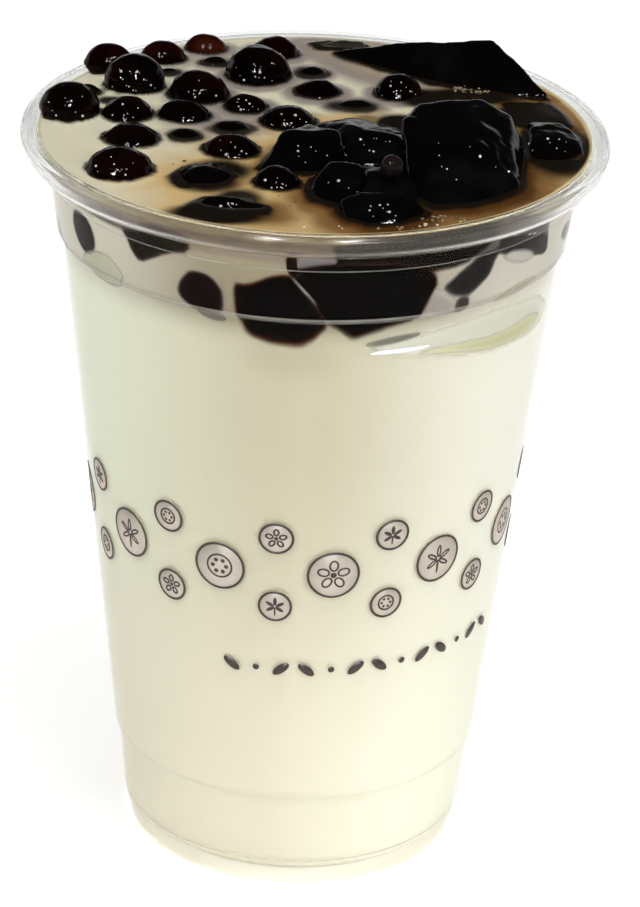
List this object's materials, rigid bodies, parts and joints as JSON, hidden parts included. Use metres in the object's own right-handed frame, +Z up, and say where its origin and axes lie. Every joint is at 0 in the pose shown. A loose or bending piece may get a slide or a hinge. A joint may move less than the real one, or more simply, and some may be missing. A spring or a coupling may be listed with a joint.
{
  "type": "bubble tea",
  "caption": "Milk tea in a clear plastic takeaway cup, filled to the brim and heaped with dark tapioca pearls and black grass jelly.",
  "frame": {"origin": "middle of the cup's base, on the surface it stands on", "axes": "+Z up the cup's axis from base to rim, -Y towards the side that the picture shows, +X to the viewer's right"},
  "size_m": [0.095, 0.095, 0.1323],
  "materials": {
    "clear_plastic": "clear, smooth",
    "milk_tea": "wet",
    "tapioca": "wet gloss",
    "grass_jelly": "wet gloss"
  },
  "bodies": {
    "root": {"cup": "clear_plastic", "drink": "milk_tea", "jelly_back": "grass_jelly", "jelly_big": "grass_jelly", "jelly_centre": "grass_jelly", "jelly_facets": "grass_jelly", "jelly_filmed": "grass_jelly", "jelly_front": "grass_jelly", "jelly_heap": "grass_jelly", "jelly_low_left": "grass_jelly", "jelly_middle": "grass_jelly", "jelly_right": "grass_jelly", "jelly_slab": "grass_jelly", "jelly_strip": "grass_jelly", "pearl_01": "tapioca", "pearl_02": "tapioca", "pearl_03": "tapioca", "pearl_04": "tapioca", "pearl_05": "tapioca", "pearl_06": "tapioca", "pearl_07": "tapioca", "pearl_08": "tapioca", "pearl_09": "tapioca", "pearl_10": "tapioca", "pearl_11": "tapioca", "pearl_12": "tapioca", "pearl_13": "tapioca", "pearl_14": "tapioca", "pearl_15": "tapioca", "pearl_16": "tapioca", "pearl_17": "tapioca", "pearl_18": "tapioca", "pearl_19": "tapioca", "pearl_20": "tapioca", "pearl_21": "tapioca", "pearl_22": "tapioca", "pearl_23": "tapioca", "pearl_24": "tapioca", "pearl_25": "tapioca", "pearl_26": "tapioca"}
  },
  "joints": []
}
